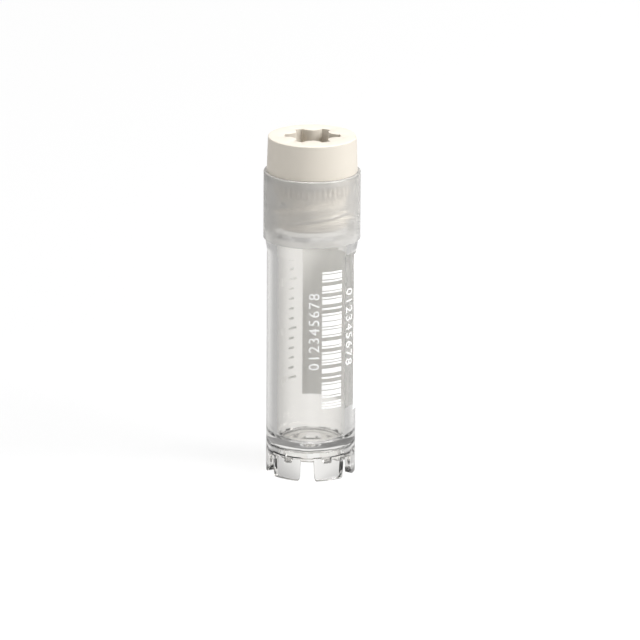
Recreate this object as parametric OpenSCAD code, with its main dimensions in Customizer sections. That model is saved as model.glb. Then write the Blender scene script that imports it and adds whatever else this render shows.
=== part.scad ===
// Cryogenic storage vial with an internal thread: a clear tube with a wide frosted neck
// and a star-shaped foot, a screw cap with a six-lobed drive socket, and its sealing ring.
// Millimetres. The vial stands on its feet at z = 0, with its axis on z.
// Angles "round the tube" are counted from the front, -y, towards +x.

/* [Tube] */
// Outer diameter of the body
body_d = 12.5; // [11.5:0.1:14]
// Wall thickness of the body
body_wall = 1.55; // [1.2:0.05:1.8]
// Height of the neck's lower edge above the feet
body_h = 33.9; // [30:0.1:70]
// Height of the neck
neck_h = 9.5; // [9.2:0.1:12]
// How far the neck stands out from the body all round
neck_step = 0.5; // [0.35:0.05:0.8]
// Wall thickness of the neck
neck_wall = 1.15; // [1.05:0.05:1.3]
// Depth of solid wall between the neck's lower edge and the bottom of its thread
neck_lip = 1.4; // [1:0.1:2]
// Radius on the neck's outer edges
neck_edge_r = 0.2; // [0.1:0.05:0.3]
// How far the shoulder below the neck stands out from the body
shoulder_step = 0.25; // [0.15:0.05:0.3]
// Height of the shoulder below the neck
shoulder_h = 1.8; // [1.8:0.1:2.5]
// Height of the shoulder's sloping lower edge
shoulder_slope = 1.6; // [0.3:0.1:1.7]
// Thickness of the floor of the tube
floor_t = 1.0; // [0.7:0.1:2]
// Radius between the bore and its floor
floor_r = 1.0; // [0.6:0.1:3]

/* [Foot] */
// Height of the skirt that the tube stands on, up to the ledge round the well
skirt_h = 3.1; // [3:0.1:4]
// Wall thickness of the skirt
skirt_wall = 1.0; // [0.8:0.05:1.4]
// Depth of the well in the underside of the floor
well_h = 0.9; // [0.5:0.1:1.5]
// Width of the ledge round the well
well_ledge = 0.85; // [0.8:0.05:1.3]
// Radius on the upper edge of the well
well_edge_r = 0.4; // [0.2:0.1:0.5]
// Number of slots in the skirt
slots = 6; // [4:1:8]
// Height of a slot
slot_h = 2.85; // [2:0.05:2.9]
// Width of a slot at its top
slot_top_w = 1.75; // [1.2:0.05:2.2]
// Width of a slot at the feet
slot_foot_w = 2.1; // [1.6:0.05:2.6]
// Radius on the lower corners of each foot
foot_corner_r = 0.4; // [0.2:0.05:0.6]
// Angle of the first slot round the tube
slot_angle = -4.5; // [-30:0.5:30]
// Width of the gusset behind each foot
gusset_w = 1.1; // [0.6:0.1:1.6]
// Height of a gusset
gusset_h = 0.8; // [0.5:0.1:1.4]
// How far a gusset reaches in from the skirt at its top
gusset_reach = 0.75; // [0.4:0.05:0.75]
// Diameter of the gate mark under the floor
gate_d = 2.0; // [1.6:0.1:3]
// Height of the gate mark
gate_h = 0.3; // [0.2:0.1:0.6]

/* [Thread] */
// Number of thread starts
starts = 2; // [1:1:2]
// Distance from one ridge to the next along the axis
pitch = 2.4; // [2.2:0.1:2.8]
// Height of a ridge
ridge_h = 0.6; // [0.4:0.05:0.7]
// Width of a ridge at its root
ridge_root_w = 1.15; // [0.9:0.05:1.2]
// Width of a ridge at its crest
ridge_crest_w = 0.55; // [0.3:0.05:0.7]
// Clearance between a ridge and the wall that it faces
thread_gap = 0.15; // [0.12:0.01:0.2]
// Angle round the tube at which the first ridge of the cap starts
thread_angle = 0; // [0:5:355]

/* [Cap] */
// Diameter of the cap's head at its lower edge
head_d = 12.6; // [12:0.1:12.9]
// Height of the cap's head
head_h = 4.9; // [3.5:0.1:6]
// Draft angle of the head's side
head_draft = 1.75; // [0:0.25:3]
// Radius on the head's upper edge
head_edge_r = 0.15; // [0.1:0.05:0.6]
// Clearance between the closed head and the neck
head_gap = 0.03; // [0.02:0.01:0.06]
// Radius of the socket at the tips of its six lobes
socket_tip_r = 3.9; // [3.7:0.05:4.1]
// Radius of the socket between the lobes
socket_waist_r = 2.76; // [2.6:0.02:2.9]
// Width of a lobe at its narrowest
lobe_w = 1.35; // [1.2:0.05:1.5]
// Thickness of the plug below the socket
plug_floor_t = 2.0; // [1.2:0.1:4]
// Clearance between the closed plug and the bottom of the neck
plug_gap = 0.3; // [0.2:0.05:0.5]
// Chamfer on the plug's lower edge
plug_chamfer = 0.4; // [0.2:0.05:0.6]
// Number of upright ribs round the top of the plug
ribs = 48; // [36:1:56]
// Height of the rib band
rib_h = 1.5; // [1.3:0.05:2]
// Width of a rib
rib_w = 0.35; // [0.25:0.05:0.4]
// How far a rib stands out
rib_depth = 0.3; // [0.15:0.05:0.4]

/* [Gasket] */
// Thickness of the gasket
gasket_t = 1.1; // [0.6:0.05:1.2]
// Width of the ledge that the gasket seals on
ledge_w = 0.35; // [0.25:0.05:0.4]
// Depth of the groove that holds the gasket in the plug
groove_depth = 0.85; // [0.6:0.05:0.95]
// Clearance round the gasket
gasket_gap = 0.05; // [0.03:0.01:0.08]

/* [Print] */
// Thickness of the printed ink
ink_t = 0.05; // [0.03:0.01:0.08]
// Height of the writing panel's lower edge
panel_z = 9.3; // [8:0.1:12]
// Gap between the writing panel and the shoulder
panel_margin = 0.2; // [0.2:0.1:3]
// Angle round the tube at which the writing panel starts
panel_from_angle = 70; // [68:1:80]
// Angle round the tube at which the writing panel ends
panel_to_angle = 194.3; // [150:0.1:196]
// Height of the bar code's lower edge
bars_z = 10.6; // [8:0.1:12]
// Gap between the bar code and the shoulder
bars_margin = 1.75; // [0.5:0.05:4]
// Angle round the tube at which the bars start
bars_from_angle = 13.8; // [12:0.1:16]
// Angle round the tube at which the bars end
bars_to_angle = 42.2; // [38:0.1:45]
// How far the ink of a bar spreads past the bar's edges
bar_spread = 0.03; // [0:0.01:0.05]
// Height at which the two strings of digits start
code_z = 16.1; // [12:0.1:17]
// Gap between the strings and the shoulder
code_margin = 4.6; // [2:0.1:6]
// Height of a digit in the strings
code_digit_h = 1.45; // [1:0.05:1.5]
// Angle round the tube of the middle of the left string
code_left_angle = 3.6; // [2:0.1:5]
// Angle round the tube of the middle of the right string
code_right_angle = 57.4; // [52:0.1:59]
// Angle round the tube at which the graduation starts
marks_angle = 220.5; // [214:0.5:224]
// How far the graduation is printed above its true heights
marks_shift = -0.25; // [-1:0.05:1]
// Length of a short graduation mark
short_mark = 1.15; // [0.8:0.05:1.4]
// Length of a long graduation mark
long_mark = 1.7; // [1.5:0.05:2.2]
// Width of a graduation mark
mark_w = 0.3; // [0.15:0.05:0.5]
// Volume of the lowest mark, in tenths of a millilitre
first_mark = 5; // [3:1:8]
// Least gap between the highest mark and the shoulder
marks_margin = 2.0; // [0.5:0.1:3]
// Height of the digits beside the long marks
mark_digit_h = 1.1; // [0.8:0.05:1.5]
// Width of a stroke of a digit
stroke_w = 0.2; // [0.12:0.02:0.24]

/* [Hidden] */
$fn = 128;

clear = "#dfe3e1";
cream = "#ece5da";
silicone = "#d8d4cc";
white = "#fbfbf8";
past = 1; // how far a cutting shape runs past the face that it cuts
sink = 0.2; // how far a piece of the moulding is sunk into what carries it

// Tube
body_r = body_d / 2;
bore_r = body_r - body_wall;
neck_r = body_r + neck_step;
neck_bore_r = neck_r - neck_wall;
skirt_bore_r = body_r - skirt_wall;
well_r = skirt_bore_r - well_ledge;
well_z = skirt_h + well_h;
floor_z = well_z + floor_t;
neck_floor_z = body_h + neck_lip;
rim_z = body_h + neck_h;
shoulder_r = body_r + shoulder_step;
shoulder_z = body_h - shoulder_h;

// Gasket and its seat
ledge_r = neck_bore_r + ledge_w;
gasket_top_z = rim_z + head_gap - gasket_gap;
gasket_z = gasket_top_z - gasket_t;
ledge_z = gasket_z - gasket_gap;
gasket_r = ledge_r - gasket_gap;

// Cap
head_r = head_d / 2;
head_top_r = head_r - head_h * tan(head_draft);
head_z = rim_z + head_gap;
top_z = head_z + head_h;
plug_z = neck_floor_z + plug_gap;
crest_r = neck_bore_r - thread_gap;
plug_r = crest_r - ridge_h;
rib_top_z = ledge_z;
rib_z = rib_top_z - rib_h;
groove_r = crest_r - groove_depth;
bump_at_r = socket_waist_r * 2 - lobe_w;
bump_r = bump_at_r - socket_waist_r;

// Thread: the ridges of the cap and of the neck lie half a pitch apart
lead = starts * pitch;
ridge_step = 10; // degrees from one section of a ridge to the next
ridge_rise = ridge_step / 360 * lead;
ridge_taper = 3; // sections over which a ridge grows out of the wall at each end
cap_thread_z = plug_z + plug_chamfer + ridge_root_w / 2;
neck_thread_z = neck_floor_z + thread_gap + ridge_root_w / 2;
thread_top_z = rib_z - thread_gap - ridge_root_w / 2;

// Graduation: the height of a volume follows from the bore and its rounded floor,
// and the print may lie a little off it
bore_area = PI * bore_r * bore_r;
round_loss = (1 - PI / 4) * floor_r * floor_r * 2 * PI * (bore_r - 0.22 * floor_r);
marks_z = floor_z + marks_shift;
last_mark = floor(((shoulder_z - marks_margin - marks_z) * bore_area - round_loss) / 100);
function mark_z(tenths) = marks_z + (round_loss + tenths * 100) / bore_area;

// Bar code of the digits 0 to 9, taken in pairs: the bars carry the first digit of a pair
// and the gaps between them the second. 1 is a narrow element and 3 is a wide one.
DIGIT_BARS = [
    [1, 1, 3, 3, 1], [3, 1, 1, 1, 3], [1, 3, 1, 1, 3], [3, 3, 1, 1, 1], [1, 1, 3, 1, 3],
    [3, 1, 3, 1, 1], [1, 3, 3, 1, 1], [1, 1, 1, 3, 3], [3, 1, 1, 3, 1], [1, 3, 1, 3, 1],
];
bar_code = [
    1, 1, 1, 1,
    for (pair = [0:2:8], element = [0:4], half = [0:1]) DIGIT_BARS[pair + half][element],
    3, 1, 1,
];
function sum_to(list, n) = n == 0 ? 0 : list[n - 1] + sum_to(list, n - 1);
bar_w = (shoulder_z - bars_margin - bars_z) / sum_to(bar_code, len(bar_code));

// Digits as strokes on a grid 4 wide and 6 high
STROKES = [
    [[0, 1], [0, 5], [1, 6], [3, 6], [4, 5], [4, 1], [3, 0], [1, 0], [0, 1]],
    [[1, 5], [2, 6], [2, 0]],
    [[0, 5], [1, 6], [3, 6], [4, 5], [4, 4], [0, 0], [4, 0]],
    [[0, 5], [1, 6], [3, 6], [4, 5], [4, 4], [3, 3], [4, 2], [4, 1], [3, 0], [1, 0], [0, 1]],
    [[3, 0], [3, 6], [0, 2], [4, 2]],
    [[4, 6], [0, 6], [0, 3], [3, 3], [4, 2], [4, 1], [3, 0], [1, 0], [0, 1]],
    [[3, 6], [1, 6], [0, 5], [0, 1], [1, 0], [3, 0], [4, 1], [4, 2], [3, 3], [0, 3]],
    [[0, 6], [4, 6], [1, 0]],
    [
        [1, 3], [0, 4], [0, 5], [1, 6], [3, 6], [4, 5], [4, 4], [3, 3],
        [1, 3], [0, 2], [0, 1], [1, 0], [3, 0], [4, 1], [4, 2], [3, 3],
    ],
    [[1, 0], [3, 0], [4, 1], [4, 5], [3, 6], [1, 6], [0, 5], [0, 4], [1, 3], [4, 3]],
];
POINT = 10; // the sign of a decimal point in a list of digits
code_digits = [for (i = [0:8]) i];
code_step = (shoulder_z - code_margin - code_z) / len(code_digits);

// The outside of a rounded corner, to be cut off at the origin's upper right
module corner_cut(r) {
    translate([-r, -r])
        difference() {
            square(2 * r);
            circle(r, $fn = 48);
        }
}

// Places its children at an angle round the tube, facing out along +y of their own frame
module round_at(angle) {
    rotate([0, 0, angle - 180])
        children();
}

// One section of a ridge, at a step of its helix: two points in the wall and two at the crest.
// A ridge climbs to the right as seen from the front. full is 1 where it has its whole height.
function ridge_section(root_r, crest_r, step, from, mid_z, full) =
    let (
        out = sign(crest_r - root_r),
        foot = root_r - out * sink,
        flush = root_r - out * sink / 2,
        tip = flush + (crest_r - flush) * full,
        angle = from + step * ridge_step,
        z = mid_z + step * ridge_rise
    )
    [
        for (p = [
            [foot, -ridge_root_w / 2], [tip, -ridge_crest_w / 2],
            [tip, ridge_crest_w / 2], [foot, ridge_root_w / 2],
        ])
            [p.x * sin(angle), -p.x * cos(angle), z + p.y]
    ];

// One ridge between two steps of its helix, which passes the height mid_z at the angle from
module ridge(root_r, crest_r, first, last, from, mid_z) {
    points = [
        for (i = [first:last])
            each ridge_section(
                root_r, crest_r, i, from, mid_z,
                min(1, (i - first) / ridge_taper, (last - i) / ridge_taper)
            )
    ];
    end = 4 * (last - first);
    sides = [
        for (i = [0:4:end - 4], k = [0:3])
            let (a = i + k, b = i + (k + 1) % 4)
            each [[a, b, b + 4], [a, b + 4, a + 4]]
    ];
    faces = concat(sides, [[0, 2, 1], [0, 3, 2], [end, end + 1, end + 2], [end, end + 2, end + 3]]);
    polyhedron(points, crest_r > root_r ? faces : [for (f = faces) [f[2], f[1], f[0]]]);
}

// All the ridges of a thread whose middles lie between two heights.
// shift moves the helix along the axis from that of the cap's thread.
module thread(root_r, crest_r, low_z, high_z, shift) {
    mid_z = cap_thread_z + shift;
    first = ceil((low_z - mid_z) / ridge_rise);
    last = floor((high_z - mid_z) / ridge_rise);
    for (i = [0:starts - 1])
        ridge(root_r, crest_r, first, last, thread_angle + i * 360 / starts, mid_z);
}

// Half of the tube's outline
module tube_outside() {
    difference() {
        union() {
            square([body_r, body_h]);
            polygon([
                [0, shoulder_z], [body_r, shoulder_z], [shoulder_r, shoulder_z + shoulder_slope],
                [shoulder_r, body_h + sink], [0, body_h + sink],
            ]);
            translate([0, body_h])
                square([neck_r, neck_h]);
        }
        translate([neck_r, rim_z])
            corner_cut(neck_edge_r);
    }
}

// Half of the outline of the tube's inside, open at the top
module tube_inside() {
    difference() {
        translate([0, floor_z])
            square([bore_r, rim_z - floor_z]);
        translate([bore_r, floor_z])
            mirror([0, 1])
                corner_cut(floor_r);
    }
    cone_h = neck_bore_r - bore_r;
    polygon([
        [0, neck_floor_z - cone_h], [bore_r, neck_floor_z - cone_h], [neck_bore_r, neck_floor_z],
        [neck_bore_r, rim_z + past], [0, rim_z + past],
    ]);
    translate([0, ledge_z])
        square([ledge_r, rim_z + past - ledge_z]);
}

// Half of the outline of the well in the underside of the floor
module well_outline() {
    difference() {
        square([well_r, well_z]);
        translate([well_r, well_z])
            corner_cut(well_edge_r);
    }
}

// One slot of the foot, seen along the radius, with the rounded corners of the feet beside it
module slot_outline() {
    slope = (slot_foot_w - slot_top_w) / 2 / slot_h;
    blunt = 0.97; // the arc crosses the slot's side instead of running along it
    corner_x = slot_foot_w / 2 + blunt * foot_corner_r;
    polygon([
        [-slot_top_w / 2, slot_h], [slot_top_w / 2, slot_h],
        [slot_foot_w / 2 + slope * past, -past], [-slot_foot_w / 2 - slope * past, -past],
    ]);
    difference() {
        translate([-corner_x, -past])
            square([2 * corner_x, past + foot_corner_r]);
        for (side = [-1, 1])
            translate([side * corner_x, foot_corner_r])
                circle(foot_corner_r, $fn = 32);
    }
}

// A gusset seen from its side, as a wedge that runs out downwards on the skirt's inner wall
module gusset_outline() {
    slope = gusset_h / gusset_reach;
    polygon([
        [skirt_bore_r - gusset_reach, skirt_h], [skirt_bore_r - gusset_reach, skirt_h + sink],
        [skirt_bore_r + sink, skirt_h + sink], [skirt_bore_r + sink, skirt_h - gusset_h - slope * sink],
    ]);
}

module tube() {
    color(clear) {
        difference() {
            rotate_extrude()
                difference() {
                    tube_outside();
                    tube_inside();
                }
            translate([0, 0, -past])
                cylinder(h = skirt_h + past, r = skirt_bore_r);
            rotate_extrude()
                well_outline();
            for (i = [0:slots - 1])
                round_at(slot_angle + i * 360 / slots)
                    translate([0, body_r + past, 0])
                        rotate([90, 0, 0])
                            linear_extrude(skirt_wall + 2 * past)
                                slot_outline();
        }
        for (i = [0:slots - 1])
            round_at(slot_angle + (i + 0.5) * 360 / slots)
                translate([-gusset_w / 2, 0, 0])
                    rotate([90, 0, 90])
                        linear_extrude(gusset_w)
                            gusset_outline();
        translate([0, 0, well_z - gate_h])
            cylinder(h = gate_h + sink, r1 = gate_d / 2 - gate_h, r2 = gate_d / 2 + sink);
        thread(neck_bore_r, plug_r + thread_gap, neck_thread_z, thread_top_z, pitch / 2);
    }
}

// The six-lobed drive socket, seen from above
module socket_outline() {
    difference() {
        circle(socket_tip_r);
        for (i = [0:5])
            rotate(30 + i * 60)
                translate([bump_at_r, 0])
                    circle(bump_r);
    }
}

// Half of the outline of the cap's head, which is wider at its foot
module head_outline() {
    edge = head_edge_r;
    out = 2 * edge;
    difference() {
        polygon([[0, head_z], [head_r, head_z], [head_top_r, top_z], [0, top_z]]);
        translate([head_top_r - edge * (1 - sin(head_draft)) / cos(head_draft), top_z - edge])
            difference() {
                polygon([[0, 0], [out * cos(head_draft), out * sin(head_draft)], [out, out], [0, out]]);
                circle(edge, $fn = 48);
            }
    }
}

module cap() {
    color(cream)
        difference() {
            union() {
                rotate_extrude()
                    head_outline();
                translate([0, 0, rib_top_z])
                    cylinder(h = head_z - rib_top_z + sink, r = groove_r);
                translate([0, 0, rib_z])
                    linear_extrude(rib_top_z - rib_z)
                        rib_outline();
                translate([0, 0, plug_z + plug_chamfer])
                    cylinder(h = rib_z - plug_z - plug_chamfer + sink, r = plug_r);
                translate([0, 0, plug_z])
                    cylinder(h = plug_chamfer, r1 = plug_r - plug_chamfer, r2 = plug_r);
                thread(plug_r, crest_r, cap_thread_z, thread_top_z, 0);
            }
            translate([0, 0, plug_z + plug_floor_t])
                linear_extrude(top_z - plug_z)
                    socket_outline();
        }
}

// The band of upright ribs, seen from above
module rib_outline() {
    circle(crest_r - rib_depth);
    for (i = [0:ribs - 1])
        rotate((i + 0.5) * 360 / ribs)
            translate([crest_r - rib_depth - sink, -rib_w / 2])
                square([rib_depth + sink, rib_w]);
}

module gasket() {
    edge_r = gasket_t / 4;
    color(silicone)
        rotate_extrude()
            translate([groove_r + gasket_gap, gasket_z])
                difference() {
                    square([gasket_r - groove_r - gasket_gap, gasket_t]);
                    for (top = [0, 1])
                        translate([gasket_r - groove_r - gasket_gap, top * gasket_t])
                            mirror([0, 1 - top])
                                corner_cut(edge_r);
                }
}

// A printed field between two angles round the tube and between two heights
module field(from, to, low_z, high_z) {
    rotate([0, 0, from - 90])
        rotate_extrude(angle = to - from)
            translate([body_r, low_z])
                square([ink_t, high_z - low_z]);
}

function arc(length) = length / body_r * 180 / PI; // the angle that a length takes up round the tube

// One digit of a given height, its lower left corner at the origin
module digit(value, h) {
    unit = (h - stroke_w) / 6;
    end = 0.4 * stroke_w; // how far a stroke runs past its last point
    if (value == POINT)
        square(stroke_w);
    else
        translate([stroke_w / 2, stroke_w / 2])
            for (i = [1:len(STROKES[value]) - 1])
                let (a = STROKES[value][i - 1] * unit, b = STROKES[value][i] * unit, d = b - a)
                    translate(a)
                        rotate(atan2(d.y, d.x))
                            translate([-end, -stroke_w / 2])
                                square([norm(d) + 2 * end, stroke_w]);
}

// Prints its flat children on the tube, centred at an angle round it
module print_at(angle) {
    intersection() {
        round_at(angle)
            rotate([90, 0, 180])
                linear_extrude(body_r + past)
                    children();
        difference() {
            cylinder(h = rim_z, r = body_r + ink_t);
            translate([0, 0, -past])
                cylinder(h = rim_z + 2 * past, r = body_r);
        }
    }
}

module writing_panel() {
    color(white)
        field(panel_from_angle, panel_to_angle, panel_z, shoulder_z - panel_margin);
}

module barcode() {
    color(white)
        for (i = [0:2:len(bar_code) - 1])
            let (low_z = bars_z + sum_to(bar_code, i) * bar_w - bar_spread)
                field(bars_from_angle, bars_to_angle, low_z, low_z + bar_code[i] * bar_w + 2 * bar_spread);
}

module code_digits_left() {
    color(white)
        print_at(code_left_angle)
            for (i = [0:len(code_digits) - 1])
                translate([code_digit_h / 2, code_z + i * code_step])
                    rotate(90)
                        digit(code_digits[i], code_digit_h);
}

module code_digits_right() {
    top = code_z + len(code_digits) * code_step;
    color(white)
        print_at(code_right_angle)
            for (i = [0:len(code_digits) - 1])
                translate([-code_digit_h / 2, top - i * code_step])
                    rotate(-90)
                        digit(code_digits[i], code_digit_h);
}

module graduation() {
    color(white)
        for (tenths = [first_mark:last_mark])
            let (length = tenths % 5 == 0 ? long_mark : short_mark, z = mark_z(tenths))
                field(marks_angle - arc(length), marks_angle, z - mark_w / 2, z + mark_w / 2);
}

module graduation_digits() {
    advance = mark_digit_h * 0.8;
    color(white)
        print_at(marks_angle + arc(1.6 * mark_digit_h))
            for (tenths = [ceil(first_mark / 5) * 5:5:last_mark])
                let (signs = [floor(tenths / 10), POINT, tenths % 10])
                    for (i = [0:2])
                        translate([(i - 1.3) * advance * (i == 1 ? 1.1 : 0.85), mark_z(tenths) - mark_digit_h / 2])
                            digit(signs[i], mark_digit_h);
}

tube();
cap();
gasket();
writing_panel();
barcode();
code_digits_left();
code_digits_right();
graduation();
graduation_digits();
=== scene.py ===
"""Looks of a cryogenic storage vial: a clear tube with a frosted neck and a star-shaped foot,
a cream screw cap with a six-lobed socket, its sealing ring, and white print on the tube.

Lengths are in millimetres and become metres where a mesh is made. The vial stands on z = 0 with
its axis on z. Angles "round the tube" are in degrees from the front, -y, towards +x.
"""

import math

import bmesh
import bpy
import numpy as np
from mathutils import Matrix, Vector


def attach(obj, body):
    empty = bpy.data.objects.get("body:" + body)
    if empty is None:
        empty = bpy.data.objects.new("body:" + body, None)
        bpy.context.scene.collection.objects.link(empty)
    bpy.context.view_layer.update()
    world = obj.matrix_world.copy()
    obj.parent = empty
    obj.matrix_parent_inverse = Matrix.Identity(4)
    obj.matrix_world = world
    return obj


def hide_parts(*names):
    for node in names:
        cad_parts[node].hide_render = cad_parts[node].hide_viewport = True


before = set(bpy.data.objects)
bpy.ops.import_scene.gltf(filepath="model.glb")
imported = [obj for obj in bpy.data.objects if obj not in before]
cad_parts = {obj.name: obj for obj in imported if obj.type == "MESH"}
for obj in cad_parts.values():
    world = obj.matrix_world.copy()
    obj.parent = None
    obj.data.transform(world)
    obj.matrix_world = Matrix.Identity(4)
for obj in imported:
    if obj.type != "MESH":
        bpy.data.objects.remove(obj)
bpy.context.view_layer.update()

MM = 0.001

# ---------------------------------------------------------------- sizes of the part, in mm
BODY_R, BORE_R = 6.25, 4.7
NECK_R, NECK_BORE_R = 6.75, 5.6
SHOULDER_R = 6.5
LEDGE_R = 5.95
SHOULDER_Z, SHOULDER_SLOPE = 32.1, 1.6
BODY_H = 33.9
RIM_Z = 43.4
NECK_FLOOR_Z = 35.3
NECK_EDGE_R = 0.2
FLOOR_Z = 5.0
FLOOR_R = 1.0
BODY_LOOPS = (12, 22)  # heights of loops that keep the long walls in shorter faces
NECK_LOOP_Z = 39
SHOULDER_HOLD = 0.15  # how close to the shoulder's edges the loops lie that keep the walls straight
EDGE_BEVEL = 0.06

RECESS_R = 5.25
RECESS_Z = 3.1
WELL_R = 4.4
WELL_Z = 4.0
WELL_EDGE = 0.4
SLOTS, SLOT_ANGLE = 6, -4.5
SLOT_H = 2.85
SLOT_TOP_W, SLOT_FOOT_W = 1.75, 2.1
FOOT_CORNER_R = 0.4
FOOT_CORNER_X = 0.97  # how far beside the slot's foot the corner's centre lies, in corner radii
FOOT_CORNER_TURNS = (0, 20, 40, 60, 75)  # degrees along the corner at which the foot gets a row
FOOT_LOOP_Z = 1.2
GUSSET_W, GUSSET_H = 1.1, 0.8
GUSSET_REACH = 0.75
GATE_R, GATE_H = 1.0, 0.3

STARTS, PITCH = 2, 2.4
RIDGE_ROOT_W, RIDGE_CREST_W, RIDGE_SINK = 1.15, 0.55, 0.2
RIDGE_STEP, RIDGE_TAPER = 10.0, 3
THREAD_GAP = 0.15

HEAD_R, HEAD_TOP_R, HEAD_EDGE_R = 6.3, 6.15, 0.15
HEAD_Z, TOP_Z = 43.43, 48.33
CREST_R, PLUG_R, PLUG_Z, PLUG_CHAMFER = 5.45, 4.85, 35.6, 0.4
PLUG_LOOP_R = 2  # radius of a loop in the plug's flat end
SOCKET_Z, SOCKET_TIP_R, BUMP_AT_R, BUMP_R = 37.6, 3.9, 4.17, 1.41
RIBS, RIB_W, RIB_DEPTH, RIB_Z, RIB_TOP_Z = 48, 0.35, 0.3, 40.73, 42.23
GROOVE_R = 4.6
GASKET_R0, GASKET_R1, GASKET_Z, GASKET_TOP_Z = 4.65, 5.9, 42.28, 43.38
GASKET_COLUMNS = 192
CAP_THREAD_Z, NECK_THREAD_Z, THREAD_TOP_Z = 36.575, 36.025, 40.005

INK_DEPTH = 0.02  # how far a print reaches to each side of the tube's surface
PRINT_STEP = 1.3  # degrees round the tube between two columns of a print
PANEL_FROM, PANEL_TO, PANEL_Z, PANEL_TOP_Z = 70.0, 194.3, 9.3, 31.9
BARS_FROM, BARS_TO, BARS_Z, BARS_TOP_Z = 13.8, 42.2, 10.6, 30.35
BAR_SPREAD = 0.03
CODE_LEFT, CODE_RIGHT, CODE_Z, CODE_TOP_Z = 3.6, 57.4, 16.1, 27.5
CODE_DIGITS, CODE_DIGIT_H = 9, 1.45
MARKS, SHORT_MARK, LONG_MARK, MARK_W, MARK_DIGIT_H = 220.5, 1.15, 1.7, 0.3, 1.1
MARKS_SHIFT = -0.25  # how far the print stands from the volumes' true heights
FIRST_MARK, LAST_MARK = 5, 17  # in tenths of a millilitre
MARK_DIGITS_REACH = 1.6  # from the marks' ends to the middle of their digits, in digit heights


# ---------------------------------------------------------------- making meshes
WELD, TOO_SHORT = 0.0008, 0.0005  # points closer than this are welded, and shorter edges go, in mm
BEVEL_FROM_ANGLE, SHARP_FROM_ANGLE, DIGIT_SHARP_FROM_ANGLE = 40, 42, 40


def arc_points(centre_r, centre_z, radius, start, end, count):
    """Points (r, z) on an arc of a profile, from one angle to another, in degrees"""
    angles = np.radians(np.linspace(start, end, count))
    return [(centre_r + radius * math.cos(a), centre_z + radius * math.sin(a)) for a in angles]


def round_tube(r, angle, z):
    """Points in mm from radii, angles round the tube and heights"""
    r, angle, z = np.broadcast_arrays(np.asarray(r, float), np.radians(angle), np.asarray(z, float))
    return np.stack([r * np.sin(angle), -r * np.cos(angle), z], axis=-1)


class Skin:
    """Grids of points in mm, welded into one mesh where they meet"""

    def __init__(self):
        self.points = []
        self.faces = []
        self.count = 0

    def grid(self, rows, closed=True):
        rows = np.asarray(rows, float)
        n_rows, n_columns = rows.shape[:2]
        base = self.count
        self.points.append(rows.reshape(-1, 3))
        self.count += n_rows * n_columns
        for i in range(n_rows - 1):
            for j in range(n_columns if closed else n_columns - 1):
                a, b = base + i * n_columns + j, base + i * n_columns + (j + 1) % n_columns
                self.faces.append((a, b, b + n_columns, a + n_columns))

    def lathe(self, profile, angles):
        """A surface of revolution of a profile of (r, z)"""
        self.grid([round_tube(r, angles, z) for r, z in profile])

    def mesh(self, name, bevel=0.0):
        """The welded mesh, with its sharp edges rounded by a bevel in mm where one is asked for"""
        points = np.concatenate(self.points) * MM
        data = bpy.data.meshes.new(name)
        data.from_pydata(points.tolist(), [], self.faces)
        bm = bmesh.new()
        bm.from_mesh(data)
        bmesh.ops.remove_doubles(bm, verts=bm.verts, dist=WELD * MM)
        bmesh.ops.dissolve_degenerate(bm, dist=TOO_SHORT * MM, edges=bm.edges)
        bmesh.ops.recalc_face_normals(bm, faces=bm.faces)
        if bevel:
            sharp = math.radians(BEVEL_FROM_ANGLE)
            edges = [e for e in bm.edges if e.is_manifold and e.calc_face_angle() > sharp]
            bmesh.ops.bevel(
                bm, geom=edges, offset=bevel * MM, offset_type="OFFSET", segments=2,
                profile=0.5, affect="EDGES", clamp_overlap=True,
            )
        bm.to_mesh(data)
        bm.free()
        data.validate()
        data.shade_smooth()
        data.set_sharp_from_angle(angle=math.radians(SHARP_FROM_ANGLE))
        return data


def add(data, name, body, material, replaces=()):
    """A mesh as a piece of the scene that rides on a body and stands for CAD nodes"""
    piece = bpy.data.objects.new(name, data)
    bpy.context.scene.collection.objects.link(piece)
    data.materials.append(material)
    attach(piece, body)
    if replaces:
        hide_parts(*replaces)
    return piece


def weighted_normals(piece):
    """Keeps flat faces flat beside rounded edges"""
    modifier = piece.modifiers.new("weighted_normals", "WEIGHTED_NORMAL")
    modifier.keep_sharp = True


# ---------------------------------------------------------------- threads
def ridge_rows(angles, root_r, crest_r, mid_z, low_z, high_z, base_z, top_z):
    """Rows of points of a threaded wall from base_z to top_z, one row for each corner of a ridge. The
    ridges climb to the right from low_z to high_z, and grow out of the wall and back at their ends."""
    lead = STARTS * PITCH
    rise = RIDGE_STEP / 360 * lead
    out = math.copysign(1, crest_r - root_r)
    first, last = math.ceil((low_z - mid_z) / rise), math.floor((high_z - mid_z) / rise)
    angles = np.append(angles, angles[0] + 360)
    start_z = mid_z + angles / 360 * lead
    n_low = math.floor((base_z - start_z.max()) / PITCH) - 1
    n_high = math.ceil((top_z - start_z.min()) / PITCH) + 1
    rows = [round_tube(root_r, angles, base_z)]
    foot_r = root_r - out * RIDGE_SINK
    flush_r = root_r - out * RIDGE_SINK / 2
    for n in range(n_low, n_high + 1):
        z = start_z + n * PITCH
        step = (z - mid_z) / rise
        full = np.clip(np.minimum((step - first) / RIDGE_TAPER, (last - step) / RIDGE_TAPER), 0, 1)
        tip = flush_r + (crest_r - flush_r) * full
        tip = np.where(out * (tip - root_r) > 0, tip, root_r)
        slant = RIDGE_SINK / np.abs(tip - foot_r)
        half_root = (RIDGE_ROOT_W + (RIDGE_CREST_W - RIDGE_ROOT_W) * slant) / 2
        half_crest = RIDGE_CREST_W / 2
        corners = ((root_r, -half_root), (tip, -half_crest), (tip, half_crest), (root_r, half_root))
        for r, offset in corners:
            rows.append(round_tube(r, angles, np.clip(z + offset, base_z, top_z)))
    rows.append(round_tube(root_r, angles, top_z))
    return rows


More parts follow.
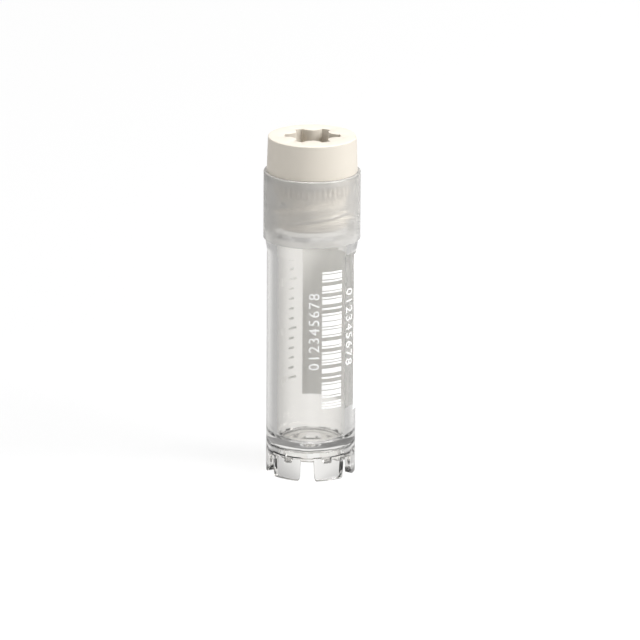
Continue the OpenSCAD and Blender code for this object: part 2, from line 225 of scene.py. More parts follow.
# ---------------------------------------------------------------- tube
def slot_half_width(z):
    """Half the width of a slot of the foot at a height"""
    slope = (SLOT_FOOT_W - SLOT_TOP_W) / 2 / SLOT_H
    straight = SLOT_TOP_W / 2 + slope * (SLOT_H - z)
    if z >= FOOT_CORNER_R:
        return straight
    corner_x = SLOT_FOOT_W / 2 + FOOT_CORNER_X * FOOT_CORNER_R
    return max(straight, corner_x - math.sqrt(FOOT_CORNER_R ** 2 - (FOOT_CORNER_R - z) ** 2))


SLOT_COLUMNS, SIDE_COLUMNS, GUSSET_COLUMNS = 12, 12, 8


def panel_angles(r, z):
    """Angles of the columns of one foot from slot to slot, counted from the slot on its left.
    The gusset's edges come twice, once on the skirt and once on the gusset."""
    edge = math.degrees(math.asin(slot_half_width(z) / r))
    gusset = math.degrees(math.asin(GUSSET_W / 2 / RECESS_R))
    sector = 360 / SLOTS
    left = np.linspace(edge, sector / 2 - gusset, SIDE_COLUMNS + 1)
    middle = np.linspace(sector / 2 - gusset, sector / 2 + gusset, GUSSET_COLUMNS + 1)
    return np.concatenate([left, middle, sector - left[::-1]])


def on_gusset():
    """Which of a foot's columns lie on its gusset"""
    n = SIDE_COLUMNS + 1
    return np.array([n <= i < n + GUSSET_COLUMNS + 1 for i in range(2 * n + GUSSET_COLUMNS + 1)])


def ring_angles(r):
    """Angles of all columns at the height of the slots' tops, all round"""
    edge = math.degrees(math.asin(SLOT_TOP_W / 2 / r))
    slot = np.linspace(-edge, edge, SLOT_COLUMNS + 1)
    one = np.concatenate([slot, panel_angles(r, SLOT_H)[1:-1]])
    return np.concatenate([SLOT_ANGLE + i * 360 / SLOTS + one for i in range(SLOTS)])


def gusset_radii(angles_from_middle, z):
    """Radius of the skirt's inner wall in each column of a foot, with the sloping face of its gusset"""
    reach = GUSSET_REACH * max(0, 1 - (RECESS_Z - z) / GUSSET_H)
    flat = (RECESS_R - reach) / np.cos(np.radians(angles_from_middle))
    return np.where(on_gusset(), np.minimum(flat, RECESS_R), RECESS_R)


def tube_mesh():
    skin = Skin()
    outer = ring_angles(BODY_R)
    inner = ring_angles(RECESS_R)

    # From the slots' tops up the outside, over the rim and down to the thread. Loops close to the
    # shoulder's two edges keep the walls beside them straight.
    neck_top = RIM_Z - NECK_EDGE_R
    hold = SHOULDER_HOLD
    hold_r = (SHOULDER_R - BODY_R) / SHOULDER_SLOPE * hold
    cone_top_z = SHOULDER_Z + SHOULDER_SLOPE
    skin.lathe(
        [
            (BODY_R, SLOT_H), (BODY_R, FLOOR_Z), *((BODY_R, z) for z in BODY_LOOPS),
            (BODY_R, SHOULDER_Z - hold), (BODY_R, SHOULDER_Z), (BODY_R + hold_r, SHOULDER_Z + hold),
            (SHOULDER_R - hold_r, cone_top_z - hold), (SHOULDER_R, cone_top_z),
            (SHOULDER_R, BODY_H), (NECK_R, BODY_H), (NECK_R, NECK_LOOP_Z),
            *arc_points(NECK_R - NECK_EDGE_R, neck_top, NECK_EDGE_R, 0, 90, 6),
            (LEDGE_R, RIM_Z), (LEDGE_R, RIB_TOP_Z), (NECK_BORE_R, RIB_TOP_Z),
        ],
        outer,
    )
    skin.grid(
        ridge_rows(
            outer, NECK_BORE_R, PLUG_R + THREAD_GAP, CAP_THREAD_Z + PITCH / 2,
            NECK_THREAD_Z, THREAD_TOP_Z, NECK_FLOOR_Z, RIB_TOP_Z,
        ),
        closed=False,
    )

    # The bore and the floor
    skin.lathe(
        [
            (NECK_BORE_R, NECK_FLOOR_Z), (BORE_R, NECK_FLOOR_Z - NECK_BORE_R + BORE_R),
            *((BORE_R, z) for z in reversed(BODY_LOOPS)),
            *arc_points(BORE_R - FLOOR_R, FLOOR_Z + FLOOR_R, FLOOR_R, 0, -90, 19),
            ((BORE_R - FLOOR_R) / 2, FLOOR_Z), (0, FLOOR_Z),
        ],
        outer,
    )

    # The underside of the floor with the gate mark, out to the top of the skirt's inner wall
    per_slot = len(inner) // SLOTS
    foot = panel_angles(RECESS_R, SLOT_H)

    def wall_columns(z):
        one = np.append(np.full(SLOT_COLUMNS + 1, RECESS_R), gusset_radii(foot - 180 / SLOTS, z)[1:-1])
        return np.tile(one, SLOTS)

    skin.lathe(
        [
            (0, WELL_Z - GATE_H), (GATE_R - GATE_H, WELL_Z - GATE_H), (GATE_R, WELL_Z),
            (WELL_R - WELL_EDGE, WELL_Z),
            *arc_points(WELL_R - WELL_EDGE, WELL_Z - WELL_EDGE, WELL_EDGE, 90, 0, 8)[1:],
            (WELL_R, RECESS_Z),
        ],
        inner,
    )
    skin.grid([
        round_tube(WELL_R, inner, RECESS_Z),
        round_tube(wall_columns(RECESS_Z), inner, RECESS_Z), round_tube(wall_columns(SLOT_H), inner, SLOT_H),
    ])

    # The six feet and the tops of the slots
    corner = [FOOT_CORNER_R * (1 - math.cos(math.radians(a))) for a in FOOT_CORNER_TURNS]
    gusset_z = RECESS_Z - GUSSET_H
    heights = [*corner, FOOT_CORNER_R, FOOT_LOOP_Z, gusset_z, (gusset_z + SLOT_H) / 2, SLOT_H]
    for i in range(SLOTS):
        at = SLOT_ANGLE + i * 360 / SLOTS
        inside, outside = [], []
        for z in heights:
            angles = panel_angles(RECESS_R, z)
            inside.append(round_tube(gusset_radii(angles - 180 / SLOTS, z), at + angles, z))
            outside.append(round_tube(BODY_R, at + panel_angles(BODY_R, z), z))
        inside, outside = np.array(inside), np.array(outside)
        skin.grid(inside, closed=False)
        skin.grid(outside, closed=False)
        skin.grid([inside[0], outside[0]], closed=False)
        for side in (0, -1):
            skin.grid([inside[:, side], outside[:, side]], closed=False)
        slot = slice(i * per_slot, i * per_slot + SLOT_COLUMNS + 1)
        skin.grid(
            [round_tube(RECESS_R, inner[slot], SLOT_H), round_tube(BODY_R, outer[slot], SLOT_H)],
            closed=False,
        )
    return skin.mesh("tube_skin", bevel=EDGE_BEVEL)


# ---------------------------------------------------------------- cap
RIB_COLUMNS = 3


def cap_columns():
    """Angles of the cap's columns, and which of them lie on a rib. A rib's edges come twice."""
    edge = math.degrees(math.asin(RIB_W / 2 / CREST_R))
    pitch = 360 / RIBS
    rib = np.linspace(-edge, edge, RIB_COLUMNS + 1)
    gap = np.linspace(edge, pitch - edge, RIB_COLUMNS + 1)
    one = np.concatenate([rib, gap])
    angles = np.concatenate([(i + 0.5) * pitch + one for i in range(RIBS)])
    on_rib = np.tile([True] * len(rib) + [False] * len(gap), RIBS)
    return angles, on_rib


def socket_outline(angles):
    """Points of the six-lobed socket, one for each column, evenly spaced along each sixth of it.
    A lobe's tip is an arc round the axis, and the bump between two lobes an arc round its own centre."""
    junction = math.degrees(math.acos(
        (SOCKET_TIP_R ** 2 + BUMP_AT_R ** 2 - BUMP_R ** 2) / (2 * SOCKET_TIP_R * BUMP_AT_R)
    ))
    junction_x = SOCKET_TIP_R * math.cos(math.radians(junction))
    junction_y = SOCKET_TIP_R * math.sin(math.radians(junction))
    bump_half = math.degrees(math.atan2(junction_y, BUMP_AT_R - junction_x))
    tip_length = math.radians(30 - junction) * SOCKET_TIP_R
    bump_length = math.radians(bump_half) * BUMP_R
    half_length = tip_length + bump_length

    def point(along):
        """Point at a share of the way from the middle of a lobe, through a bump, to the next lobe"""
        sector, share = divmod(along, 1)
        length = share * 2 * half_length
        mirrored = length > half_length
        if mirrored:
            length = 2 * half_length - length
        if length <= tip_length:
            angle = length / SOCKET_TIP_R
            x, y = SOCKET_TIP_R * math.cos(angle), SOCKET_TIP_R * math.sin(angle)
        else:
            turn = math.radians(bump_half) - (length - tip_length) / BUMP_R
            x = BUMP_AT_R - BUMP_R * math.cos(turn)
            y = -BUMP_R * math.sin(turn)
            lobe_to_bump = math.radians(30)
            x, y = (
                x * math.cos(lobe_to_bump) - y * math.sin(lobe_to_bump),
                x * math.sin(lobe_to_bump) + y * math.cos(lobe_to_bump),
            )
        if mirrored:
            middle = math.radians(60)
            x, y = x * math.cos(middle) + y * math.sin(middle), x * math.sin(middle) - y * math.cos(middle)
        turn = math.radians(sector * 60)
        return x * math.cos(turn) - y * math.sin(turn), x * math.sin(turn) + y * math.cos(turn)

    # A lobe's tip lies on +x, which is 90 degrees round the tube
    return np.array([point((a - 90) / 60) for a in angles])


def cap_mesh():
    skin = Skin()
    angles, on_rib = cap_columns()
    radii = np.where(on_rib, CREST_R, CREST_R - RIB_DEPTH)
    rib_bottom, rib_top = round_tube(radii, angles, RIB_Z), round_tube(radii, angles, RIB_TOP_Z)
    skin.lathe(
        [
            (0, PLUG_Z), (PLUG_LOOP_R, PLUG_Z),
            (PLUG_R - PLUG_CHAMFER, PLUG_Z), (PLUG_R, PLUG_Z + PLUG_CHAMFER),
        ],
        angles,
    )
    skin.grid(
        ridge_rows(
            angles, PLUG_R, CREST_R, CAP_THREAD_Z,
            CAP_THREAD_Z, THREAD_TOP_Z, PLUG_Z + PLUG_CHAMFER, RIB_Z,
        ),
        closed=False,
    )
    skin.grid([
        round_tube(PLUG_R, angles, RIB_Z), rib_bottom, rib_top, round_tube(GROOVE_R, angles, RIB_TOP_Z),
    ])
    skin.lathe(
        [
            (GROOVE_R, RIB_TOP_Z), (GROOVE_R, HEAD_Z), (HEAD_R, HEAD_Z),
            *arc_points(HEAD_TOP_R - HEAD_EDGE_R, TOP_Z - HEAD_EDGE_R, HEAD_EDGE_R, 0, 90, 8),
        ],
        angles,
    )
    outline = socket_outline(angles)

    def level(share, z):
        return np.column_stack([outline * share, np.full(len(outline), z)])

    skin.grid([
        round_tube(HEAD_TOP_R - HEAD_EDGE_R, angles, TOP_Z), level(1, TOP_Z), level(1, SOCKET_Z),
        level(0.5, SOCKET_Z), level(0, SOCKET_Z),
    ])
    return skin.mesh("cap_skin", bevel=EDGE_BEVEL)


def gasket_mesh():
    skin = Skin()
    edge_r = (GASKET_TOP_Z - GASKET_Z) / 4
    skin.lathe(
        [
            (GASKET_R0, GASKET_Z), *arc_points(GASKET_R1 - edge_r, GASKET_Z + edge_r, edge_r, -90, 0, 7),
            *arc_points(GASKET_R1 - edge_r, GASKET_TOP_Z - edge_r, edge_r, 0, 90, 7),
            (GASKET_R0, GASKET_TOP_Z), (GASKET_R0, GASKET_Z),
        ],
        np.linspace(0, 360, GASKET_COLUMNS, endpoint=False),
    )
    return skin.mesh("gasket_skin")


# ---------------------------------------------------------------- print
def arc_of(length):
    """Angle round the tube that a length takes up"""
    return math.degrees(length / BODY_R)


def print_field(skin, start, end, low_z, high_z):
    """A printed field between two angles and two heights, as a closed shell in the tube's surface"""
    angles = np.linspace(start, end, max(2, math.ceil((end - start) / PRINT_STEP)) + 1)
    outside, inside = BODY_R + INK_DEPTH, BODY_R - INK_DEPTH
    skin.grid([
        np.concatenate([round_tube(outside, angles, z), round_tube(inside, angles[::-1], z)])
        for z in (low_z, high_z)
    ])
    for z in (low_z, high_z):
        skin.grid([round_tube(outside, angles, z), round_tube(inside, angles, z)], closed=False)


# Widths of the five bars or gaps of each digit from 0 to 9 in the interleaved 2 of 5 code
DIGIT_BARS = (
    (1, 1, 3, 3, 1), (3, 1, 1, 1, 3), (1, 3, 1, 1, 3), (3, 3, 1, 1, 1), (1, 1, 3, 1, 3),
    (3, 1, 3, 1, 1), (1, 3, 3, 1, 1), (1, 1, 1, 3, 3), (3, 1, 1, 3, 1), (1, 3, 1, 3, 1),
)


def bar_widths():
    """Widths of the bars and the gaps of a code of the digits 0 to 9, between its start and its end"""
    pairs = [
        DIGIT_BARS[pair + half][element]
        for pair in range(0, 10, 2) for element in range(5) for half in (0, 1)
    ]
    return [1, 1, 1, 1, *pairs, 3, 1, 1]


def barcode_mesh():
    skin = Skin()
    widths = bar_widths()
    unit = (BARS_TOP_Z - BARS_Z) / sum(widths)
    for i in range(0, len(widths), 2):
        low_z = BARS_Z + sum(widths[:i]) * unit - BAR_SPREAD
        print_field(skin, BARS_FROM, BARS_TO, low_z, low_z + widths[i] * unit + 2 * BAR_SPREAD)
    return skin.mesh("barcode_skin")


def panel_mesh():
    skin = Skin()
    print_field(skin, PANEL_FROM, PANEL_TO, PANEL_Z, PANEL_TOP_Z)
    return skin.mesh("writing_panel_skin")


def mark_z(tenths):
    """Height of a volume, in tenths of a millilitre, in a bore with a rounded floor"""
    area = math.pi * BORE_R ** 2
    loss_middle_r = BORE_R - 0.22 * FLOOR_R  # the middle of the corner that the rounding takes away
    round_loss = (1 - math.pi / 4) * FLOOR_R ** 2 * 2 * math.pi * loss_middle_r
    return FLOOR_Z + MARKS_SHIFT + (round_loss + tenths * 100) / area


def graduation_mesh():
    skin = Skin()
    for tenths in range(FIRST_MARK, LAST_MARK + 1):
        length = LONG_MARK if tenths % 5 == 0 else SHORT_MARK
        z = mark_z(tenths)
        print_field(skin, MARKS - arc_of(length), MARKS, z - MARK_W / 2, z + MARK_W / 2)
    return skin.mesh("graduation_skin")


def text_outline(text, height):
    """A flat bmesh of digits, in mm, that are as high as asked and centred on the origin"""
    curve = bpy.data.curves.new("digits", "FONT")
    curve.body = text
    curve.align_x = "CENTER"
    curve.resolution_u = 5
    holder = bpy.data.objects.new("digits", curve)
    bpy.context.scene.collection.objects.link(holder)
    bpy.context.view_layer.update()
    data = bpy.data.meshes.new_from_object(holder.evaluated_get(bpy.context.evaluated_depsgraph_get()))
    bm = bmesh.new()
    bm.from_mesh(data)
    bpy.data.objects.remove(holder)
    bpy.data.curves.remove(curve)
    bpy.data.meshes.remove(data)
    low = min(v.co.y for v in bm.verts)
    high = max(v.co.y for v in bm.verts)
    scale = height / (high - low)
    for v in bm.verts:
        v.co = Vector((v.co.x * scale, (v.co.y - (low + high) / 2) * scale, 0))
    return bm


STRIP_W = 0.25


class Lettering:
    """Flat digits collected in a plane, then wrapped round the tube as one mesh"""

    def __init__(self):
        self.flat = bmesh.new()

    def write(self, text, height, z, turn=0):
        """Digits with their middle at a height z, turned by an angle in degrees"""
        bm = text_outline(text, height)
        bm.transform(Matrix.Translation((0, z, 0)) @ Matrix.Rotation(math.radians(turn), 4, "Z"))
        data = bpy.data.meshes.new("digits")
        bm.to_mesh(data)
        bm.free()
        self.flat.from_mesh(data)
        bpy.data.meshes.remove(data)

    def mesh(self, name, middle_angle):
        """The digits cut into upright strips, wrapped round the tube and closed to a thin shell"""
        bm = self.flat
        bmesh.ops.remove_doubles(bm, verts=bm.verts, dist=0.001)
        reach = max(abs(v.co.x) for v in bm.verts)
        strips = int(reach / STRIP_W)
        for i in range(-strips, strips + 1):
            bmesh.ops.bisect_plane(
                bm, geom=bm.verts[:] + bm.edges[:] + bm.faces[:], dist=1e-5,
                plane_co=(i * STRIP_W, 0, 0), plane_no=(1, 0, 0),
            )
        bmesh.ops.triangulate(bm, faces=bm.faces)
        back = bmesh.ops.duplicate(bm, geom=bm.verts[:] + bm.edges[:] + bm.faces[:])
        copies = {v for v in back["geom"] if isinstance(v, bmesh.types.BMVert)}
        pairs = [(a, back["vert_map"][a]) for a in bm.verts if a not in copies]
        bm.verts.index_update()
        rims = [e for e in bm.edges if e.is_boundary and e.verts[0] not in copies]
        twin = dict(pairs)
        for e in rims:
            a, b = e.verts
            bm.faces.new((a, b, twin[b], twin[a]))
        for v in bm.verts:
            r = BODY_R + (-INK_DEPTH if v in copies else INK_DEPTH)
            angle = math.radians(middle_angle) + v.co.x / BODY_R
            v.co = Vector((r * math.sin(angle), -r * math.cos(angle), v.co.y)) * MM
        bmesh.ops.recalc_face_normals(bm, faces=bm.faces)
        data = bpy.data.meshes.new(name)
        bm.to_mesh(data)
        bm.free()
        data.shade_smooth()
        data.set_sharp_from_angle(angle=math.radians(DIGIT_SHARP_FROM_ANGLE))
        return data


def code_mesh(name, middle_angle, turn):
    """Nine digits from 0 in a column along the tube, lying on their sides"""
    letters = Lettering()
    step = (CODE_TOP_Z - CODE_Z) / CODE_DIGITS
    for i in range(CODE_DIGITS):
        z = CODE_Z + (i + 0.5) * step if turn > 0 else CODE_TOP_Z - (i + 0.5) * step
        letters.write(str(i), CODE_DIGIT_H, z, turn)
    return letters.mesh(name, middle_angle)


def mark_digits_mesh():
    letters = Lettering()
    for tenths in range(5 * math.ceil(FIRST_MARK / 5), LAST_MARK + 1, 5):
        letters.write(f"{tenths // 10}.{tenths % 10}", MARK_DIGIT_H, mark_z(tenths))
    return letters.mesh("graduation_digits_skin", MARKS + arc_of(MARK_DIGITS_REACH * MARK_DIGIT_H))


# ---------------------------------------------------------------- materials
def new_material(name):
    material = bpy.data.materials.new(name)
    material.use_nodes = True
    nodes, links = material.node_tree.nodes, material.node_tree.links
    return material, nodes, links, nodes["Principled BSDF"]


def math_node(nodes, links, operation, a, b):
    """The result of an operation on two values, each of them a number or another node's output"""
    node = nodes.new("ShaderNodeMath")
    node.operation = operation
    for socket, value in zip(node.inputs, (a, b)):
        if isinstance(value, (int, float)):
            socket.default_value = value
        else:
            links.new(value, socket)
    return node.outputs["Value"]


def vector_node(nodes, links, operation, vector, other=None):
    """A vector node fed by one vector, and by a fixed second one where the operation has two"""
    node = nodes.new("ShaderNodeVectorMath")
    node.operation = operation
    links.new(vector, node.inputs[0])
    if other:
        node.inputs[1].default_value = other
    return node


def map_range(nodes, links, value, low, high, at_low, at_high):
    """A value mapped from one range to another, and held at the second one's ends"""
    node = nodes.new("ShaderNodeMapRange")
    node.inputs["From Min"].default_value = low
    node.inputs["From Max"].default_value = high
    node.inputs["To Min"].default_value = at_low
    node.inputs["To Max"].default_value = at_high
    links.new(value, node.inputs["Value"])
    return node.outputs["Result"]


def noise_bump(nodes, links, shader, scale, strength, distance=0.02):
    """A fine grain on a surface, in object coordinates, which it returns. Scale is per mm, distance in mm."""
    place = nodes.new("ShaderNodeTexCoord")
    noise = nodes.new("ShaderNodeTexNoise")
    noise.inputs["Scale"].default_value = scale / MM
    noise.inputs["Detail"].default_value = 2
    bump = nodes.new("ShaderNodeBump")
    bump.inputs["Strength"].default_value = strength
    bump.inputs["Distance"].default_value = distance * MM
    links.new(place.outputs["Object"], noise.inputs["Vector"])
    links.new(noise.outputs["Fac"], bump.inputs["Height"])
    links.new(bump.outputs["Normal"], shader.inputs["Normal"])
    return place.outputs["Object"]


PLASTIC = (0.955, 0.945, 0.925, 1)
FROST = (0.7, 0.685, 0.658, 1)
FROST_ROUGH, FROST_CLEAR = 0.18, 0.5  # roughness of the frosted neck, and the share of light that passes it
FROST_FROM_R = 6.6  # the frost covers what lies farther from the axis, in mm, and the rim
CLEAR_ROUGH, BORE_ROUGH = 0.03, 0.1  # the bore is a little hazier than the outside
LET_THROUGH = (0.96, 0.96, 0.955, 1)  # what each surface leaves of the lamps' light that passes it
CREAM_COLOUR = (0.708, 0.657, 0.577, 1)
SILICONE_COLOUR = (0.62, 0.6, 0.56, 1)
INK_COLOUR = (0.97, 0.97, 0.96, 1)


def clear_plastic():
    """Clear polypropylene, frosted on the outside of the neck. Light passes it to what lies behind."""
    material, nodes, links, shader = new_material("clear_polypropylene")
    shader.inputs["IOR"].default_value = 1.49
    place = noise_bump(nodes, links, shader, 0.6, 0.05)

    # Where a point lies: its height and its distance from the axis
    split = nodes.new("ShaderNodeSeparateXYZ")
    links.new(place, split.inputs["Vector"])
    height = split.outputs["Z"]
    flat = vector_node(nodes, links, "MULTIPLY", place, (1, 1, 0))
    radius = vector_node(nodes, links, "LENGTH", flat.outputs["Vector"]).outputs["Value"]

    # The neck's outside is far enough from the axis, and its rim high enough
    far = math_node(nodes, links, "GREATER_THAN", radius, FROST_FROM_R * MM)
    high = math_node(nodes, links, "GREATER_THAN", height, (RIM_Z - 0.1) * MM)
    frosted = math_node(nodes, links, "MAXIMUM", far, high)

    near = math_node(nodes, links, "LESS_THAN", radius, (BORE_R + 0.05) * MM)
    above = math_node(nodes, links, "GREATER_THAN", height, (FLOOR_Z + 0.5) * MM)
    in_bore = math_node(nodes, links, "MULTIPLY", near, above)

    haze = map_range(nodes, links, in_bore, 0, 1, CLEAR_ROUGH, BORE_ROUGH)
    frost = map_range(nodes, links, frosted, 0, 1, 0, FROST_ROUGH)
    links.new(math_node(nodes, links, "MAXIMUM", haze, frost), shader.inputs["Roughness"])
    clear = map_range(nodes, links, frosted, 0, 1, 1, FROST_CLEAR)
    links.new(clear, shader.inputs["Transmission Weight"])
    colour = nodes.new("ShaderNodeMix")
    colour.data_type = "RGBA"
    colour.inputs["A"].default_value = PLASTIC
    colour.inputs["B"].default_value = FROST
    links.new(frosted, colour.inputs["Factor"])
    links.new(colour.outputs["Result"], shader.inputs["Base Color"])

    let_through(nodes, links, shader, LET_THROUGH)
    return material


def let_through(nodes, links, shader, colour):
    """Lets light pass a clear material straight on, tinted, instead of casting a full shadow"""
    path = nodes.new("ShaderNodeLightPath")
    clear = nodes.new("ShaderNodeBsdfTransparent")
    clear.inputs["Color"].default_value = colour
    mix = nodes.new("ShaderNodeMixShader")
    links.new(path.outputs["Is Shadow Ray"], mix.inputs["Fac"])
    links.new(shader.outputs["BSDF"], mix.inputs[1])
    links.new(clear.outputs["BSDF"], mix.inputs[2])
    links.new(mix.outputs["Shader"], nodes["Material Output"].inputs["Surface"])


def cap_plastic():
    material, nodes, links, shader = new_material("cap_polypropylene")
    shader.inputs["Base Color"].default_value = CREAM_COLOUR
    shader.inputs["Roughness"].default_value = 0.42
    shader.inputs["Specular IOR Level"].default_value = 0.4
    noise_bump(nodes, links, shader, 9, 0.08, 0.01)
    return material


def silicone():
    material, nodes, links, shader = new_material("silicone")
    shader.inputs["Base Color"].default_value = SILICONE_COLOUR
    shader.inputs["Roughness"].default_value = 0.5
    noise_bump(nodes, links, shader, 5, 0.1, 0.01)
    return material


def white_ink():
    material, nodes, links, shader = new_material("white_ink")
    shader.inputs["Base Color"].default_value = INK_COLOUR
    shader.inputs["Roughness"].default_value = 0.55
    noise_bump(nodes, links, shader, 12, 0.1, 0.01)
    return material


CLEAR, CREAM, RUBBER, INK = clear_plastic(), cap_plastic(), silicone(), white_ink()

# ---------------------------------------------------------------- pieces
tube = add(tube_mesh(), "tube_visual", "tube", CLEAR, ["tube"])
weighted_normals(tube)
cap = add(cap_mesh(), "cap_visual", "cap", CREAM, ["cap"])
weighted_normals(cap)
gasket = add(gasket_mesh(), "gasket_visual", "ring", RUBBER, ["gasket"])
panel = add(panel_mesh(), "writing_panel_visual", "tube", INK, ["writing_panel"])
bars = add(barcode_mesh(), "barcode_visual", "tube", INK, ["barcode"])
left_code = code_mesh("code_left_skin", CODE_LEFT, 90)
left = add(left_code, "code_digits_left_visual", "tube", INK, ["code_digits_left"])
right_code = code_mesh("code_right_skin", CODE_RIGHT, -90)
right = add(right_code, "code_digits_right_visual", "tube", INK, ["code_digits_right"])
marks = add(graduation_mesh(), "graduation_visual", "tube", INK, ["graduation"])
numerals = add(mark_digits_mesh(), "graduation_digits_visual", "tube", INK, ["graduation_digits"])

# ---------------------------------------------------------------- floor, light and camera
WHITE = (1, 1, 1, 1)
EVEN_LIGHT = 0.16  # what falls on the object from all sides
FLOOR_SIZE, FLOOR_DROP = 600, 0.02  # half its width, and how far it lies under the object, in mm
FLOOR_COLOUR = (0.55, 0.55, 0.55, 1)
# The share of the floor's own glow, and its strength near the object and at the far end of the view, where
# less light of the lamps falls
FLOOR_GLOW = 0.5
GLOW_NEAR, GLOW_FAR = 1.24, 1.5
GLOW_NEAR_R, GLOW_FAR_R = 80, 300  # mm
# The floor as seen through the plastic: brightness from the left, -1, to the right, 1, and a share of it in
# front, counted round a point in front of the object
FLOOR_TONES = (
    (-1, 0.5), (-0.6, 0.52), (-0.35, 0.7), (-0.15, 0.92), (0.02, 0.98), (0.3, 0.87), (0.6, 0.62), (1, 0.66),
)
FLOOR_FRONT, FLOOR_FRONT_TO = 0.75, 0.3
FLOOR_MIDDLE_Y = -8  # mm
# The room as seen through the plastic: brightness from below the horizon to straight up, 1, and a share of
# it on the left and on the right
ROOM_TONES = ((-0.2, 0.7), (0.05, 0.55), (0.22, 0.27), (0.5, 0.33), (0.85, 1.0), (1, 1.0))
ROOM_LEFT, ROOM_RIGHT = 0.6, 1.2

# Square soft lamps: name, azimuth from -y towards +x, elevation, width in m, power in W
LAMPS = (("key", 68, 35, 0.3, 2.55), ("fill", -65, 20, 0.4, 0.75), ("top", 20, 88, 0.2, 2.2))
LAMP_DISTANCE = 0.5  # m
LAMPS_AIM_Z = 24  # mm

LENS, CAMERA_ELEVATION, CAMERA_DISTANCE, CAMERA_ROLL = 322.65, 16.7, 0.8, 0.36  # mm, degrees, m, degrees
AIM_Z, AIM_RIGHT, AIM_DOWN = 24.15, 1.21, 2.34  # mm


def tone_along(nodes, links, value, tones):
    """A brightness that follows a value through pairs of value and brightness"""
    low, high = tones[0][0], tones[-1][0]
    ramp = nodes.new("ShaderNodeValToRGB")
    links.new(map_range(nodes, links, value, low, high, 0, 1), ramp.inputs["Fac"])
    stops = ramp.color_ramp.elements
    stops.remove(stops[1])
    for i, (at, tone) in enumerate(tones):
        stop = stops.new((at - low) / (high - low)) if i else stops[0]
        stop.color = (tone, tone, tone, 1)
    return ramp.outputs["Color"]


def seen_through(nodes, links, path):
    """1 on rays that the camera sends by reflection or through the plastic, and 0 on rays that carry
    light on from a dull surface"""
    seen = math_node(
        nodes, links, "MAXIMUM", path.outputs["Is Glossy Ray"], path.outputs["Is Transmission Ray"],
    )
    direct = math_node(nodes, links, "LESS_THAN", path.outputs["Diffuse Depth"], 0.5)
    return math_node(nodes, links, "MULTIPLY", seen, direct)


def mix_shaders(nodes, links, share, a, b):
    """A mix of two shaders' outputs, by a number or another node's output"""
    node = nodes.new("ShaderNodeMixShader")
    if isinstance(share, float):
        node.inputs["Fac"].default_value = share
    else:
        links.new(share, node.inputs["Fac"])
    links.new(a, node.inputs[1])
    links.new(b, node.inputs[2])
    return node.outputs["Shader"]


def white_shader(nodes, kind, strength):
    """A node that shines white, by itself or as the world's background"""
    node = nodes.new(kind)
    node.inputs["Color"].default_value = WHITE
    node.inputs["Strength"].default_value = strength
    return node


def stage_material():
    """A white floor that keeps the object's shadow, and looks graded where the plastic shows it"""
    material, nodes, links, shader = new_material("floor_white")
    shader.inputs["Base Color"].default_value = FLOOR_COLOUR
    shader.inputs["Roughness"].default_value = 1
    shader.inputs["Specular IOR Level"].default_value = 0
    dull = shader.outputs["BSDF"]
    path = nodes.new("ShaderNodeLightPath")
    place = nodes.new("ShaderNodeTexCoord").outputs["Object"]

    # What the camera sees: the lit floor and its own glow
    distance = vector_node(nodes, links, "LENGTH", place).outputs["Value"]
    strength = map_range(
        nodes, links, distance, GLOW_NEAR_R * MM, GLOW_FAR_R * MM, GLOW_NEAR, GLOW_FAR,
    )
    glow = white_shader(nodes, "ShaderNodeEmission", GLOW_NEAR)
    links.new(strength, glow.inputs["Strength"])
    lit = mix_shaders(nodes, links, FLOOR_GLOW, dull, glow.outputs["Emission"])

    # What reflections and the plastic show
    from_middle = vector_node(nodes, links, "SUBTRACT", place, (0, FLOOR_MIDDLE_Y * MM, 0))
    direction = vector_node(nodes, links, "NORMALIZE", from_middle.outputs["Vector"])
    split = nodes.new("ShaderNodeSeparateXYZ")
    links.new(direction.outputs["Vector"], split.inputs["Vector"])
    across = tone_along(nodes, links, split.outputs["X"], FLOOR_TONES)
    along = map_range(nodes, links, split.outputs["Y"], -1, FLOOR_FRONT_TO, FLOOR_FRONT, 1)
    seen_floor = white_shader(nodes, "ShaderNodeEmission", 1)
    links.new(math_node(nodes, links, "MULTIPLY", across, along), seen_floor.inputs["Strength"])

    seen = seen_through(nodes, links, path)
    through = mix_shaders(nodes, links, seen, dull, seen_floor.outputs["Emission"])
    whole = mix_shaders(nodes, links, path.outputs["Is Camera Ray"], through, lit)
    links.new(whole, nodes["Material Output"].inputs["Surface"])
    return material


def add_floor():
    size = FLOOR_SIZE * MM
    data = bpy.data.meshes.new("floor")
    corners = [(-size, -size, 0), (size, -size, 0), (size, size, 0), (-size, size, 0)]
    data.from_pydata(corners, [], [(0, 1, 2, 3)])
    data.materials.append(stage_material())
    floor = bpy.data.objects.new("floor", data)
    bpy.context.scene.collection.objects.link(floor)
    floor.location.z = -FLOOR_DROP * MM


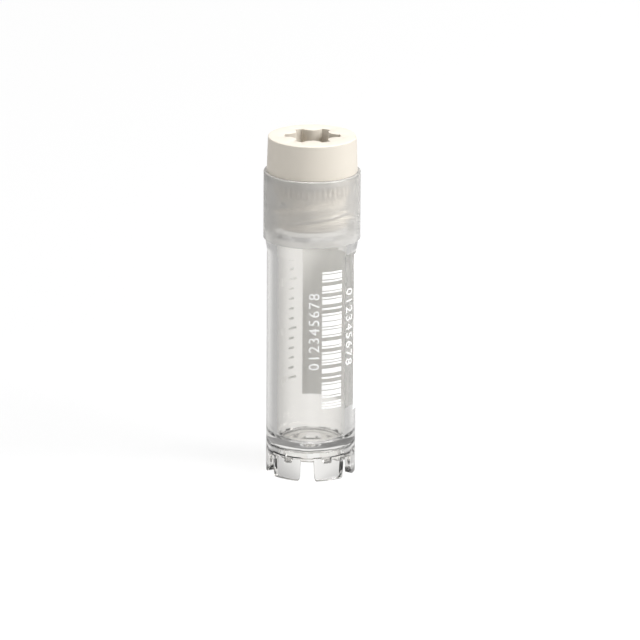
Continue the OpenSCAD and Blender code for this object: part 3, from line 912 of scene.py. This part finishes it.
def add_world():
    """White for the camera. Reflections and the plastic show a room that is graded by height, and darker
    on the left than on the right. Everything else gets soft even light."""
    world = bpy.data.worlds.new("studio")
    bpy.context.scene.world = world
    world.use_nodes = True
    nodes, links = world.node_tree.nodes, world.node_tree.links
    nodes.clear()
    output = nodes.new("ShaderNodeOutputWorld")
    path = nodes.new("ShaderNodeLightPath")
    split = nodes.new("ShaderNodeSeparateXYZ")
    links.new(nodes.new("ShaderNodeTexCoord").outputs["Generated"], split.inputs["Vector"])
    upward = tone_along(nodes, links, split.outputs["Z"], ROOM_TONES)
    across = map_range(nodes, links, split.outputs["X"], -1, 1, ROOM_LEFT, ROOM_RIGHT)
    even, room, white = (white_shader(nodes, "ShaderNodeBackground", s) for s in (EVEN_LIGHT, 1, 1))
    links.new(math_node(nodes, links, "MULTIPLY", upward, across), room.inputs["Strength"])
    seen = seen_through(nodes, links, path)
    through = mix_shaders(nodes, links, seen, even.outputs["Background"], room.outputs["Background"])
    whole = mix_shaders(
        nodes, links, path.outputs["Is Camera Ray"], through, white.outputs["Background"],
    )
    links.new(whole, output.inputs["Surface"])


def add_lamp(name, azimuth, elevation, size, power):
    """A square soft lamp that points at the middle of the object"""
    data = bpy.data.lights.new(name, "AREA")
    data.size = size
    data.energy = power
    lamp = bpy.data.objects.new(name, data)
    bpy.context.scene.collection.objects.link(lamp)
    a, e = math.radians(azimuth), math.radians(elevation)
    towards = Vector((math.sin(a) * math.cos(e), -math.cos(a) * math.cos(e), math.sin(e)))
    lamp.location = Vector((0, 0, LAMPS_AIM_Z * MM)) + towards * LAMP_DISTANCE
    lamp.rotation_euler = towards.to_track_quat("Z", "Y").to_euler()


def add_camera():
    """The camera looks slightly down at a point beside and below the middle of the vial"""
    data = bpy.data.cameras.new("camera")
    data.sensor_width = 36
    data.lens = LENS
    camera = bpy.data.objects.new("camera", data)
    bpy.context.scene.collection.objects.link(camera)
    elevation = math.radians(CAMERA_ELEVATION)
    back = Vector((0, -math.cos(elevation), math.sin(elevation)))
    right = Vector((1, 0, 0))
    up = back.cross(right)
    aim = Vector((0, 0, AIM_Z * MM)) + right * AIM_RIGHT * MM - up * AIM_DOWN * MM
    facing = Matrix((right, up, back)).transposed().to_4x4()
    roll = Matrix.Rotation(math.radians(CAMERA_ROLL), 4, "Z")
    camera.matrix_world = Matrix.Translation(aim + back * CAMERA_DISTANCE) @ facing @ roll
    bpy.context.scene.camera = camera


add_floor()
add_world()
for lamp in LAMPS:
    add_lamp(*lamp)
add_camera()
bpy.context.scene.view_settings.view_transform = "Standard"
